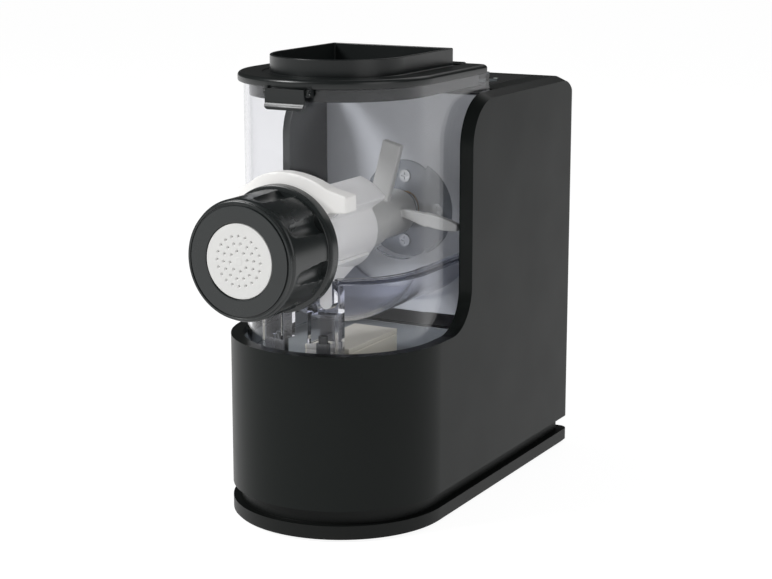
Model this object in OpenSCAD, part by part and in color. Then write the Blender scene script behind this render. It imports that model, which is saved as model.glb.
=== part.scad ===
// Electric pasta maker: a black housing with a D-shaped plan, a clear mixing bowl
// held between its two cheeks, and a screw press that pushes the dough through a die.
// Lengths are in millimetres. Y = 0 is the front of the housing until stand() centres it.

/* [Housing] */
// Width of the housing across its two cheeks
body_w = 135; // [134:0.5:136]
// Depth of the housing from its round front to the rear cover
body_d = 263; // [262:0.5:266]
// Height of the tower over the surface the machine stands on
tower_top = 253.5; // [252:0.5:256]
// Height of the rim around the bowl
rim_top = 112; // [111:0.5:113]
// Distance from the front of the housing to the front edge of the cheeks
cheek_front = 105; // [103:0.5:107]
// Radius of the hollow curve at the foot of each cheek
cheek_foot_r = 25; // [20:1:28]
// Radius of the round front corner at the top of each cheek
cheek_nose_r = 31; // [26:1:33]
// Radius of the round corner at the top of the back
back_corner_r = 20; // [16:1:22]
// Thickness of the moulded walls
wall = 3; // [2.6:0.1:3.2]

/* [Foot] */
// Height of the top of the foot flange
foot_top = 10.2; // [9.8:0.1:11]
// Height of the lower edge of the housing
skirt_z = 19.1; // [18.8:0.1:19.6]
// How far the neck over the foot is set in
neck_inset = 5; // [4.5:0.5:6]
// How far the rubber feet stand out of the foot
foot_gap = 1.5; // [1.2:0.1:2]

/* [Bowl] */
// Outer radius of the round front of the bowl
bowl_r = 57.5; // [57:0.1:58]
// Wall thickness of the bowl
bowl_t = 2.5; // [2.2:0.1:2.8]
// Distance from the front of the housing to the outside of the bowl's back wall
bowl_back = 150.5; // [150:0.1:151]
// Height of the top edge of the bowl
bowl_top = 264.2; // [264:0.1:264.3]
// Inner radius of the mixing trough
trough_r = 53; // [52.8:0.1:53.2]
// Height of the ledge between the trough and the bowl wall
ledge_z = 154; // [152:0.5:156]

/* [Press] */
// Height of the press axis
axis_z = 174.7; // [174:0.1:175]
// Outer radius of the press tube
tube_r = 21.5; // [21.4:0.1:21.6]
// Inner radius of the press tube
tube_bore_r = 18.2; // [18.1:0.1:18.4]
// How far the front of the cap nut stands out of the housing front
nut_reach = 47.2; // [47:0.1:47.6]
// Radius of the rear flange of the cap nut
nut_flange_r = 36.8; // [36.5:0.1:37]
// Number of grip flutes around the cap nut
nut_flutes = 8; // [6:1:9]
// Radius of the face of the die
die_r = 21.3; // [21.1:0.1:21.5]
// Diameter of one hole of the die
die_hole_d = 1.6; // [1.2:0.1:1.8]
// Pitch of the press screw
screw_pitch = 22; // [20:1:26]

/* [Lid] */
// Radius of the round front of the lid
lid_r = 61; // [60.5:0.1:61.5]
// Height of the top of the lid flange
lid_top = 269.7; // [269.5:0.1:270.5]
// Height of the top of the filling collar
collar_top = 279.5; // [278:0.5:282]
// Outer radius of the round front of the filling collar
collar_r = 42; // [41:0.5:43]

/* [Drive] */
// Teeth on each of the two large gears
wheel_teeth = 60; // [60]
// Teeth on each of the two small gears
pinion_teeth = 15; // [15]
// Module of the gears next to the motor
motor_module = 1; // [1]
// Module of the gears next to the output shaft
output_module = 1.5; // [1.5]
// Radius of the output shaft
shaft_r = 8; // [7.8:0.1:8.2]
// Radius of the motor stator
stator_r = 37; // [36:0.5:37]

/* [Hidden] */
$fn = 96;

// Driving values of the plan shape
half_w = body_w / 2;
front_cy = half_w;
back_y = body_d;
mid_y = (back_y - nut_reach) / 2;

plan_corner_r = 6;

// Foot and its screws
foot_edge = 1.1;
feet_at = [[-42, 46], [42, 46], [-52, 240], [52, 240]];
foot_pad_r = 8;
base_screw_at = [[-53, 62], [53, 62], [-53, 150], [53, 150], [-53, 236], [53, 236]];

// Well for the bowl
rim_w = 7.5;
well_half = half_w - rim_w;
seat_floor = 98;
bulkhead_y = 152;
peg_x = 14.1;
peg_y = 20.4;
peg_top = 115.7;
peg_r = 4.1;

// Tower
tower_half = half_w - wall;
rear_wall_y = back_y - 5.5;
panel_y = [170, 236];
panel_half = 48;
panel_t = 2;
button_x = [-33, -11, 11, 33];
button_y = 196;
button_r = 8;
cover_half = 52;
cover_z = [34, 228];
cover_t = 2.6;
rear_screw_at = [[-46, 42], [46, 42], [-46, 220], [46, 220], [-46, 131], [46, 131]];
gland_z = 52;
gland_bore_r = 3.6;

// Bearing plate in the bulkhead
plate_r = 31;
plate_screw_at = 20.8;
plate_screw_r = 1.6;

// Gear train: the idler lies between the output shaft above and the motor below
output_r = output_module * wheel_teeth / 2;
output_gap = output_module * (wheel_teeth + pinion_teeth) / 2;
motor_gap = motor_module * (wheel_teeth + pinion_teeth) / 2;
idler_x = -20;
idler_z = axis_z - sqrt(pow(output_gap, 2) - pow(idler_x, 2));
motor_z = idler_z - sqrt(pow(motor_gap, 2) - pow(idler_x, 2));
to_output = atan2(axis_z - idler_z, -idler_x);
to_motor = atan2(motor_z - idler_z, -idler_x);
output_gear_y = [164, 176];
motor_gear_y = [178.5, 186.5];
case_y = [157, 191];
case_split = 174;
idler_axle_r = 4;
case_t = 3;
gearbox_ear_at = [[-56, 204], [56, 204], [-58, 146], [38, 112]];
gearbox_ear = 26;

// Motor
rotor_y = [202, 232];
rotor_r = 25;
stator_bore_r = 25.6;
motor_bolt_r = 33.5;
bell_y = [191, 246];
fan_y = [248, 255];
capacitor_x = 41;
snug = 0.02;

// Press
socket_x = 16.6;
socket_half = 8.5;
rib_x = 22.8;
leg_x = 17.4;
leg_half = 3.9;
leg_z = 140.9;
collar_thread_r = 25.5;
tube_end = 74;
hood_r = 33.5;
hood_turn = [37, 74];
hood_front = 24;
hood_t = 2.3;
wing_reach = 36.1;
wing_gap = 0.7;
wing_front_r = 84;
nut_back = -0.5;
die_ring = [[5.7, 8], [9.9, 14], [14, 20]];
flute_phase = 31.3;

// Lid
lid_back = 143;
lid_under = 264.3;
hinge_y = 147;
hinge_z = 266.7;
hinge_r = 3.1;
clip_pin_y = 6.2;
clip_pin_z = 262.2;
clip_half = 12.8;

// ---- helpers -------------------------------------------------------------------

// Moves a piece from the housing's front to the middle of the whole machine
module stand() {
    translate([0, -mid_y, 0]) children();
}

// Extrudes an outline drawn in X and height-over-z0 from y0 back to y1
module along_y(y0, y1, z0 = axis_z, x0 = 0) {
    translate([x0, y1, z0]) rotate([90, 0, 0]) linear_extrude(height = y1 - y0) children();
}

// Round bar along Y
module rod(x, z, r, y0, y1) {
    translate([x, y1, z]) rotate([90, 0, 0]) cylinder(r = r, h = y1 - y0);
}

// Tube along Y
module sleeve(x, z, ro, ri, y0, y1) {
    difference() {
        rod(x, z, ro, y0, y1);
        rod(x, z, ri, y0 - 1, y1 + 1);
    }
}

// Round bar along X
module cross_rod(y, z, r, x0, x1) {
    translate([x0, y, z]) rotate([0, 90, 0]) cylinder(r = r, h = x1 - x0);
}

module block(x0, x1, y0, y1, z0, z1) {
    translate([x0, y0, z0]) cube([x1 - x0, y1 - y0, z1 - z0]);
}

// The same child on both sides of the middle
module both_sides() {
    children();
    mirror([1, 0, 0]) children();
}

// Plan outline: a round front and straight sides, square at the back
module d_plan(half, back) {
    translate([0, front_cy]) circle(r = half, $fn = 180);
    translate([-half, front_cy]) square([2 * half, back - front_cy]);
}

// The same outline with round corners at the back
module d_plan_soft(half, back, r) {
    d_plan(half, back - r);
    translate([-half + r, front_cy]) square([2 * (half - r), back - front_cy]);
    for (s = [-1, 1]) translate([s * (half - r), back - r]) circle(r = r);
}

module d_slab(half, back, z0, z1) {
    translate([0, 0, z0]) linear_extrude(height = z1 - z0) d_plan(half, back);
}

module soft_slab(half, back, z0, z1) {
    translate([0, 0, z0]) linear_extrude(height = z1 - z0) d_plan_soft(half, back, plan_corner_r);
}

// Pan head screw along +Z, its head below
module screw_up(r, len, head_r, head_h) {
    difference() {
        cylinder(r = head_r, h = head_h);
        for (a = [0, 90]) rotate(a) translate([-head_r * 0.6, -0.5, -1]) cube([head_r * 1.2, 1, 1.8]);
    }
    translate([0, 0, head_h]) cylinder(r = r, h = len);
}

// Spur gear outline: involute flanks, one tooth pointing along +X
function inv(a) = tan(a) - a * PI / 180;
function flank(z, m, r) = let (rb = m * z / 2 * cos(20), a = r > rb ? acos(rb / r) : 0)
    90 / z - 0.09 / (m * z / 2) * 180 / PI + (inv(20) - inv(a)) * 180 / PI;
function polar(r, a) = [r * cos(a), r * sin(a)];
module gear_outline(z, m) {
    rp = m * z / 2;
    root = rp - 1.25 * m;
    base = max(rp * cos(20), root);
    tip = rp + 0.9 * m;
    steps = [for (k = [0:3]) base + (tip - base) * k / 3];
    polygon([for (i = [0:z - 1]) let (c = i * 360 / z) each concat(
        [polar(root, c - flank(z, m, base))],
        [for (r = steps) polar(r, c - flank(z, m, r))],
        [for (k = [3:-1:0]) polar(steps[k], c + flank(z, m, steps[k]))],
        [polar(root, c + flank(z, m, base))])]);
}

// ---- foot and housing ------------------------------------------------------------

module base_plate() {
    color("#191b1b") stand() difference() {
        union() {
            soft_slab(half_w - foot_edge, back_y - foot_edge, foot_gap, foot_gap + foot_edge);
            soft_slab(half_w, back_y, foot_gap + foot_edge, foot_top);
            difference() {
                soft_slab(half_w - neck_inset, back_y - neck_inset, foot_top, skirt_z);
                d_slab(half_w - neck_inset - wall, back_y - neck_inset - wall, foot_top - 1, skirt_z + 1);
            }
            for (p = base_screw_at) translate([p[0], p[1], foot_gap]) cylinder(r = 6.2, h = skirt_z - foot_gap);
        }
        difference() {
            d_slab(half_w - 9, back_y - 9, 6, foot_top + 1);
            for (p = base_screw_at) translate([p[0], p[1], 0]) cylinder(r = 6.2, h = skirt_z);
        }
        for (p = feet_at) translate([p[0], p[1], foot_gap - 1]) cylinder(r = foot_pad_r, h = 3);
        for (p = base_screw_at) translate([p[0], p[1], 0]) {
            cylinder(r = 4.3, h = 12);
            cylinder(r = 2.2, h = 30);
        }
    }
}

module rubber_feet() {
    color("#2a2a2a") stand() for (p = feet_at) translate([p[0], p[1], 0]) {
        cylinder(r = foot_pad_r - 1, h = 1);
        translate([0, 0, 1]) cylinder(r = foot_pad_r - 0.2, h = foot_gap + 1);
    }
}

module base_screws() {
    color("#9a9a98") stand() for (p = base_screw_at) translate([p[0], p[1], 9.6]) screw_up(1.9, 18, 3.8, 2.4);
}

// Side outline of the housing, drawn in Y and Z
module side_outline(in = 0) {
    nose = cheek_nose_r - in;
    back = back_corner_r - in;
    difference() {
        union() {
            translate([-1, 0]) square([back_y + 1 - in, rim_top - in]);
            translate([cheek_front + in, rim_top - in - 1]) square([back_y - cheek_front - 2 * in, tower_top - rim_top + 1]);
            difference() {
                translate([cheek_front - cheek_foot_r, rim_top - 1]) square(cheek_foot_r + 1);
                translate([cheek_front - cheek_foot_r, rim_top + cheek_foot_r]) circle(r = cheek_foot_r);
            }
        }
        difference() {
            translate([cheek_front + in - 1, tower_top - in - nose]) square(nose + 1);
            translate([cheek_front + in + nose, tower_top - in - nose]) circle(r = nose);
        }
        difference() {
            translate([back_y - in - back, tower_top - in - back]) square(back + 1);
            translate([back_y - in - back, tower_top - in - back]) circle(r = back);
        }
    }
}

module housing_solid() {
    intersection() {
        translate([0, 0, skirt_z]) linear_extrude(height = tower_top - skirt_z) d_plan_soft(half_w, back_y, plan_corner_r);
        translate([-half_w - 1, 0, 0]) rotate([90, 0, 90]) linear_extrude(height = body_w + 2) side_outline();
    }
}

module housing() {
    color("#2c3030") stand() difference() {
        union() {
            difference() {
                housing_solid();
                // opening underneath, left as a flange that stands on the neck
                d_slab(half_w - 11, back_y - 11, skirt_z - 1, skirt_z + wall);
                // inside of the drum
                d_slab(tower_half, rear_wall_y, skirt_z + wall, rim_top - 4);
                // well between rim and cheeks
                d_slab(well_half, bulkhead_y, rim_top - 5, tower_top + 1);
                // inside of the tower
                block(-tower_half, tower_half, bulkhead_y - 0.5, rear_wall_y, rim_top - 5, tower_top - 22);
                block(-tower_half, tower_half, bulkhead_y - 0.5, rear_wall_y - 14, tower_top - 23, tower_top - 4);
                // control panel seat
                block(-panel_half, panel_half, panel_y[0], panel_y[1], tower_top - panel_t, tower_top + 1);
                block(-panel_half + 4, panel_half - 4, panel_y[0] + 4, panel_y[1] - 4, tower_top - 6, tower_top);
                // rear cover seat
                block(-cover_half, cover_half, back_y - cover_t, back_y + 1, cover_z[0], cover_z[1]);
                block(-cover_half + 14, cover_half - 14, rear_wall_y - 1, back_y, cover_z[0] + 4, cover_z[1] - 4);
            }
            for (p = base_screw_at) translate([p[0], p[1], skirt_z]) cylinder(r = 5, h = 18);
        }
        for (p = base_screw_at) translate([p[0], p[1], skirt_z - 1]) cylinder(r = 1.9, h = 16);
        for (p = rear_screw_at) rod(p[0], p[1], 1.6, rear_wall_y - 1, back_y);
    }
}

module bowl_seat() {
    color("#3a3f40") stand() difference() {
        union() {
            d_slab(half_w - wall - 0.6, bulkhead_y + wall, seat_floor - wall, rim_top - 4);
            block(-tower_half + 0.3, tower_half - 0.3, bulkhead_y, bulkhead_y + wall, seat_floor, tower_top - 4.4);
            for (p = gearbox_ear_at) rod(p[0], p[1], 5, bulkhead_y, case_y[0]);
        }
        d_slab(well_half, bulkhead_y, seat_floor, rim_top);
        rod(0, axis_z, plate_r + 0.1, bulkhead_y - 1, case_y[0] + 1);
        for (p = gearbox_ear_at) rod(p[0], p[1], 1.7, bulkhead_y + 1.2, case_y[0] + 1);
        for (s = [-1, 1]) translate([s * peg_x, peg_y, seat_floor - 2]) cylinder(r = 2.5, h = 3);
    }
}

module locating_pegs() {
    color("#26292a") stand() for (s = [-1, 1]) translate([s * peg_x, peg_y, seat_floor - 2]) {
        cylinder(r = 2.5, h = 2.5);
        translate([0, 0, 2]) cylinder(r = peg_r, h = peg_top - seat_floor);
        translate([0, 0, 2]) cylinder(r = 2.8, h = peg_top - seat_floor + 4.5);
    }
}

module rear_cover() {
    slots = 12;
    color("#25292a") stand() difference() {
        block(-cover_half + 0.15, cover_half - 0.15, back_y - cover_t, back_y, cover_z[0] + 0.15, cover_z[1] - 0.15);
        for (i = [0:slots - 1]) for (s = [-1, 1])
            translate([s * 19, back_y - cover_t / 2, 84 + i * 6.4]) cube([30, cover_t + 2, 2.4], center = true);
        rod(0, gland_z, 8, back_y - 5, back_y + 1);
        for (p = rear_screw_at) {
            rod(p[0], p[1], 1.9, back_y - 5, back_y + 1);
            rod(p[0], p[1], 3.4, back_y - 1.4, back_y + 1);
        }
    }
}

module rear_screws() {
    color("#8f9090") stand() for (p = rear_screw_at)
        translate([p[0], back_y - 0.1, p[1]]) rotate([90, 0, 0]) screw_up(1.6, 4.2, 3, 1.3);
}

// Rubber grommet where the mains lead would enter
module cord_gland() {
    color("#202222") stand() difference() {
        union() {
            rod(0, gland_z, 8, back_y - 6, back_y);
            rod(0, gland_z, 10.5, back_y - 7, back_y - cover_t);
            rod(0, gland_z, 7, back_y - 16, back_y - 6);
        }
        rod(0, gland_z, gland_bore_r, back_y - 17, back_y + 1);
    }
}

// ---- controls ----------------------------------------------------------------------

module control_panel() {
    color("#161819") stand() difference() {
        block(-panel_half + 0.15, panel_half - 0.15, panel_y[0] + 0.15, panel_y[1] - 0.15, tower_top - panel_t, tower_top);
        for (x = button_x) translate([x, button_y, tower_top - 5]) cylinder(r = button_r + 0.3, h = 6);
        for (x = button_x) translate([x, button_y + 16, tower_top - 5]) cylinder(r = 1.6, h = 6);
    }
}

module indicator_lenses() {
    color("#dfe8e4") stand() for (x = button_x) translate([x, button_y + 16, tower_top - 5]) cylinder(r = 1.5, h = 5);
}

module push_button(i) {
    stand() translate([button_x[i], button_y, 0]) difference() {
        union() {
            translate([0, 0, tower_top - 3]) cylinder(r = button_r, h = 3.4);
            translate([0, 0, tower_top - 3.8]) cylinder(r = button_r + 1.2, h = 0.8);
            translate([0, 0, tower_top - 7]) cylinder(r = 2, h = 5);
        }
        translate([0, 0, tower_top + 0.4 + 59]) sphere(r = 59.4, $fn = 180);
    }
}

module power_button() { color("#3d4445") push_button(0); }
module start_button() { color("#3d4445") push_button(1); }
module less_button() { color("#3d4445") push_button(2); }
module more_button() { color("#3d4445") push_button(3); }

// Board under the panel with one tact switch under each button
module control_board() {
    color("#1f5a3a") stand() {
        block(-42, 42, 182, 228, tower_top - 16, tower_top - 14.4);
        for (x = button_x) {
            translate([x - 3, button_y - 3, tower_top - 14.4]) cube([6, 6, 4]);
            translate([x, button_y, tower_top - 10.5]) cylinder(r = 1.7, h = 2.3);
            translate([x - 1, button_y + 15, tower_top - 14.4]) cube([2, 2, 9]);
        }
        for (s = [-1, 1]) for (y = [185, 225]) translate([s * 39, y, tower_top - 14.5]) cylinder(r = 2, h = 14.5 - panel_t);
        block(-20, -8, 218, 226, tower_top - 23, tower_top - 16);
    }
}

module power_board() {
    color("#27623f") stand() {
        block(-38, 38, 44, 126, 38, 39.6);
        block(-30, -12, 52, 78, 39.5, 62);
        block(4, 30, 54, 74, 39.5, 56);
        block(-28, -4, 90, 116, 39.5, 52);
        for (x = [12, 26]) translate([x, 100, 39.5]) cylinder(r = 6, h = 24);
        for (s = [-1, 1]) for (y = [48, 122]) translate([s * 34, y, 6]) cylinder(r = 2.6, h = 32.1);
    }
}

module run_capacitor() {
    color("#d8d8d2") stand() {
        translate([capacitor_x, 178, 6]) cylinder(r = 14, h = 46);
        for (s = [-1, 1]) translate([capacitor_x + s * 5, 178, 54]) cube([2, 5, 8], center = true);
    }
}

// Switch that only closes while the bowl is in place
module bowl_switch() {
    color("#1c1d1e") stand() {
        block(36, 56, bulkhead_y + wall, bulkhead_y + wall + 7, 226, 238);
        block(44, 47, bulkhead_y + wall + 7, bulkhead_y + wall + 12, 229, 235);
    }
}

// ---- gearbox and motor ----------------------------------------------------------------

// Outline of the gearbox, around the output gear, the idler and the motor pinion
module case_outline(in = 0) {
    circle_r = output_r + 6 - in;
    low_r = 37 - in;
    translate([0, axis_z]) circle(r = circle_r);
    translate([idler_x, idler_z]) circle(r = low_r);
    translate([0, motor_z]) circle(r = 14 - in);
    translate([idler_x - low_r * 0.9, idler_z]) square([low_r * 1.7, 40]);
}

module case_half(y0, y1, plate_y) {
    difference() {
        union() {
            difference() {
                along_y(y0, y1, 0) case_outline();
                along_y(y0 - 1, y1 + 1, 0) case_outline(case_t);
            }
            along_y(plate_y, plate_y + case_t, 0) case_outline();
        }
        rod(0, axis_z, 13, y0 - 1, y1 + 1);
        rod(idler_x, idler_z, 4, y0 - 1, y1 + 1);
    }
}

module gearbox_case() {
    color("#b9bcbc") stand() difference() {
        union() {
            case_half(case_split, case_y[1], case_y[1] - case_t);
            rod(0, motor_z, stator_r, case_y[1] - case_t, case_y[1]);
        }
        rod(0, motor_z, 11, case_y[0], case_y[1] + 1);
        rod(idler_x, idler_z, idler_axle_r + snug, case_split, case_y[1] + 1);
        around_motor() rod(motor_bolt_r, 0, 2, case_y[1] - case_t - 1, case_y[1] + 1);
    }
}

module gearbox_cover() {
    color("#a9adad") stand() difference() {
        union() {
            case_half(case_y[0], case_split, case_y[0]);
            for (p = gearbox_ear_at) {
                rod(p[0], p[1], 6, case_y[0], case_y[0] + case_t);
                x0 = p[0] > 0 ? p[0] - gearbox_ear : p[0];
                block(x0, x0 + gearbox_ear, case_y[0], case_y[0] + case_t, p[1] - 6, p[1] + 6);
            }
        }
        for (p = gearbox_ear_at) rod(p[0], p[1], 2, case_y[0] - 1, case_y[0] + case_t + 1);
        along_y(case_y[0] + case_t, case_split + 1, 0) case_outline(case_t);
        rod(idler_x, idler_z, idler_axle_r + snug, case_y[0] - 1, case_split);
        around_axis() rod(plate_screw_at, 0, plate_screw_r + snug, case_y[0] - 1, case_y[0] + case_t + 1);
    }
}

module gearbox_screws() {
    color("#8f9090") stand() for (p = gearbox_ear_at)
        translate([p[0], case_y[0] + case_t + 2.6, p[1]]) rotate([90, 0, 0]) screw_up(1.7, 6, 3.6, 2.6);
}

module output_bushes() {
    color("#b08a4a") stand() {
        sleeve(0, axis_z, 13, shaft_r + 0.05, case_y[0], case_y[0] + 5);
        sleeve(0, axis_z, 13, shaft_r + 0.05, case_y[1] - 5, case_y[1]);
    }
}

module idler_axle() {
    color("#c9cccc") stand() rod(idler_x, idler_z, idler_axle_r, case_y[0], case_y[1]);
}

module output_gear() {
    color("#e6e2d4") stand() difference() {
        union() {
            along_y(output_gear_y[0], output_gear_y[1]) rotate(to_output - 180) gear_outline(wheel_teeth, output_module);
            rod(0, axis_z, 14, output_gear_y[0] - 1.5, output_gear_y[1] + 8);
        }
        rod(0, axis_z, shaft_r + snug, output_gear_y[0] - 3, output_gear_y[1] + 9);
        for (a = [0:60:300]) rotate_about_axis(a) rod(28, 0, 7.5, output_gear_y[0] - 1, output_gear_y[1] + 1);
    }
}

// Turns a piece drawn around height zero about the press axis
module rotate_about_axis(a) {
    translate([0, 0, axis_z]) rotate([0, -a, 0]) children();
}

// Four times around the press axis
module around_axis() {
    for (a = [0:90:270]) rotate_about_axis(a) children();
}

module idler_gear() {
    color("#e0dccd") stand() difference() {
        union() {
            along_y(output_gear_y[0], motor_gear_y[0], idler_z, idler_x)
                rotate(to_output + 180 / pinion_teeth) gear_outline(pinion_teeth, output_module);
            along_y(motor_gear_y[0], motor_gear_y[1], idler_z, idler_x)
                rotate(to_motor) gear_outline(wheel_teeth, motor_module);
            rod(idler_x, idler_z, 6, output_gear_y[0] - 3.5, output_gear_y[0]);
        }
        rod(idler_x, idler_z, 4.05, case_y[0], case_y[1]);
    }
}

module motor_pinion() {
    color("#b08a4a") stand() difference() {
        along_y(motor_gear_y[0] - 1, motor_gear_y[1] + 0.5, motor_z)
            rotate(to_motor - 180 + 180 / pinion_teeth) gear_outline(pinion_teeth, motor_module);
        rod(0, motor_z, 4, motor_gear_y[0] - 3, motor_gear_y[1] + 3);
    }
}

module motor_shaft() {
    color("#c9cccc") stand() rod(0, motor_z, 4, motor_gear_y[0] - 2, fan_y[1] + 1);
}

module motor_rotor() {
    color("#8d9092") stand() sleeve(0, motor_z, rotor_r, 4 + snug, rotor_y[0], rotor_y[1]);
}

module motor_stator() {
    color("#6f7476") stand() difference() {
        sleeve(0, motor_z, stator_r, stator_bore_r, rotor_y[0], rotor_y[1]);
        around_motor() rod(motor_bolt_r, 0, 2, rotor_y[0] - 1, rotor_y[1] + 1);
    }
}

module motor_windings() {
    color("#a4562a") stand() {
        sleeve(0, motor_z, 31, stator_bore_r + 0.4, rotor_y[0] - 6, rotor_y[0]);
        sleeve(0, motor_z, 31, stator_bore_r + 0.4, rotor_y[1], rotor_y[1] + 6);
    }
}

// End bell: a plate and a rim that clamps the stator, with a bush in its middle
module motor_bell(plate_y, rim_y0, rim_y1) {
    difference() {
        union() {
            rod(0, motor_z, stator_r, plate_y, plate_y + 3);
            sleeve(0, motor_z, stator_r, stator_r - 5.5, rim_y0, rim_y1);
        }
        rod(0, motor_z, 8, plate_y - 1, plate_y + 4);
        around_motor() rod(motor_bolt_r, 0, 2, plate_y - 20, plate_y + 20);
    }
}

module motor_front_bell() { color("#b4b8b8") stand() motor_bell(bell_y[0], bell_y[0], rotor_y[0]); }
module motor_rear_bell() { color("#b4b8b8") stand() motor_bell(bell_y[1] - 3, rotor_y[1], bell_y[1]); }

// Four times around the motor, between its poles
module around_motor() {
    for (a = [45:90:315]) translate([0, 0, motor_z]) rotate([0, -a, 0]) children();
}

module motor_bolts() {
    color("#8f9090") stand() around_motor() {
        rod(motor_bolt_r, 0, 2, case_y[1] - case_t, bell_y[1]);
        rod(motor_bolt_r, 0, 3.4, bell_y[1], bell_y[1] + 1.8);
    }
}

module motor_bushes() {
    color("#b08a4a") stand() {
        sleeve(0, motor_z, 8, 4.05, bell_y[0], bell_y[0] + 5);
        sleeve(0, motor_z, 8, 4.05, bell_y[1] - 5, bell_y[1]);
    }
}

module cooling_fan() {
    blades = 9;
    color("#d9dad6") stand() difference() {
        union() {
            rod(0, motor_z, 9, fan_y[0], fan_y[1]);
            for (i = [0:blades - 1]) translate([0, fan_y[0] + 3.5, motor_z]) rotate([0, i * 360 / blades, 0])
                rotate([35, 0, 0]) translate([7, -0.6, -2.5]) cube([22, 1.2, 5]);
        }
        rod(0, motor_z, 4, fan_y[0] - 1, fan_y[1] + 1);
    }
}

// ---- bowl -------------------------------------------------------------------------------

// Half-round trough around the press axis with a ball-shaped front end
module trough(r) {
    rod(0, axis_z, r, front_cy, bowl_back - bowl_t);
    translate([0, front_cy, axis_z]) sphere(r = r, $fn = 120);
}

module bowl() {
    inner = bowl_r - bowl_t;
    back = bowl_back - bowl_t;
    color("#cdd3dd", 0.35) stand() difference() {
        union() {
            // wall
            difference() {
                d_slab(bowl_r, bowl_back, seat_floor + 2.5, bowl_top);
                d_slab(inner, back, seat_floor, bowl_top + 1);
            }
            // ledge and trough
            difference() {
                intersection() {
                    union() {
                        trough(trough_r + bowl_t);
                        block(-bowl_r, bowl_r, 0, bowl_back, ledge_z - bowl_t, ledge_z);
                    }
                    d_slab(inner + 0.5, back + 0.5, seat_floor + 4, ledge_z);
                }
                trough(trough_r);
            }
            // sockets that drop over the two pegs
            both_sides() difference() {
                intersection() {
                    along_y(8, 26, 0) polygon([[socket_x - socket_half, peg_top + 1], [rib_x, peg_top + 1],
                        [rib_x, seat_floor + 3], [socket_x + socket_half, seat_floor + 3],
                        [socket_x + socket_half, ledge_z], [socket_x - socket_half, ledge_z]]);
                    d_slab(inner + 0.5, back, seat_floor, ledge_z);
                }
                trough(trough_r);
            }
            // lower part of a round guard behind the paddle
            along_y(bowl_back - 9.5, bowl_back - 1.5) ring_sector(plate_r + 0.5, plate_r - 1, -122, -34);
            // hinge ears
            both_sides() for (x = [18, 36]) {
                block(x, x + 6, hinge_y - 2.5, bowl_back, 256, hinge_z);
                cross_rod(hinge_y, hinge_z, hinge_r, x, x + 6);
            }
            // catch for the clip
            block(-9, 9, front_cy - bowl_r - 1.1, front_cy - bowl_r + 1.2, 254, 255.5);
        }
        // way through for the press tube
        rod(0, axis_z, tube_r + 0.4, -5, front_cy - 20);
        along_y(-5, front_cy - 20) ring_sector(hood_r + 0.5, tube_r - 4, hood_turn[0] - 1, hood_turn[1] + 1);
        // room in the sockets: legs of the tube socket above, pegs below
        both_sides() intersection() {
            union() {
                block(leg_x - leg_half - 0.5, leg_x + leg_half + 0.5, 8, 24.2, leg_z, 172);
                rod(leg_x, leg_z, leg_half + 0.5, 8, 24.2);
                block(socket_x - 6.7, socket_x + 6.7, 8, 24.2, peg_top, 134);
            }
            d_slab(inner - 0.4, back, seat_floor, 180);
        }
        // drive shaft
        rod(0, axis_z, 10.5, back - 5, bowl_back + 1);
        // hinge
        both_sides() cross_rod(hinge_y, hinge_z, 1.53, 15, 45);
        both_sides() block(24, 36, hinge_y - 6, bowl_back + 1, 262.5, 275);
    }
}

module bearing_plate() {
    color("#8b9095") stand() difference() {
        rod(0, axis_z, plate_r, bulkhead_y, case_y[0]);
        rod(0, axis_z, 11, bulkhead_y - 1, case_y[0] + 1);
        around_axis() rod(plate_screw_at, 0, plate_screw_r + 0.2, bulkhead_y - 1, case_y[0] + 1);
    }
}

module plate_screws() {
    head_h = 1.2;
    color("#d6d8d6") stand() around_axis()
        translate([plate_screw_at, bulkhead_y - head_h, 0]) rotate([-90, 0, 0]) screw_up(plate_screw_r, 7.5, 4, head_h);
}

module shaft_seal() {
    color("#35393a") stand() sleeve(0, axis_z, 10.5, shaft_r + 0.05, bowl_back - bowl_t - 4.4, bowl_back);
}

// Box in the well, with the tool that clears the holes of a die
tray_x = [-3, 27];
tray_y = [28, 88];
tray_wall = 1.8;
tray_split = 109;
module tray_room(z0, z1) {
    block(tray_x[0] + tray_wall, tray_x[1] - tray_wall, tray_y[0] + tray_wall, tray_y[1] - tray_wall, z0, z1);
}

module tray_base() {
    color("#dcd8cc") stand() difference() {
        block(tray_x[0], tray_x[1], tray_y[0], tray_y[1], seat_floor, tray_split);
        tray_room(seat_floor + tray_wall, tray_split + 1);
    }
}

module tray_cover() {
    color("#e2dfd4") stand() difference() {
        block(tray_x[0], tray_x[1], tray_y[0], tray_y[1], tray_split, rim_top);
        tray_room(tray_split - 1, rim_top - tray_wall);
    }
}

// Handle with a row of pins that push dough out of the holes
module cleaning_tool() {
    tool_z = seat_floor + tray_wall;
    middle = (tray_x[0] + tray_x[1]) / 2;
    color("#e9e8e2") stand() {
        translate([middle, 0, tool_z]) linear_extrude(height = 5) {
            translate([0, 42]) circle(r = 10);
            translate([-4, 42]) square([8, 32]);
            translate([-10, 68]) square([20, 8]);
        }
        for (k = [-3:3]) rod(middle + k * 3, tool_z + 2.5, 0.7, 75, 84);
    }
}

// ---- lid --------------------------------------------------------------------------------

module hinge_pins() {
    color("#c9cccc") stand() both_sides() cross_rod(hinge_y, hinge_z, 1.5, 18.2, 41.8);
}

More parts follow.
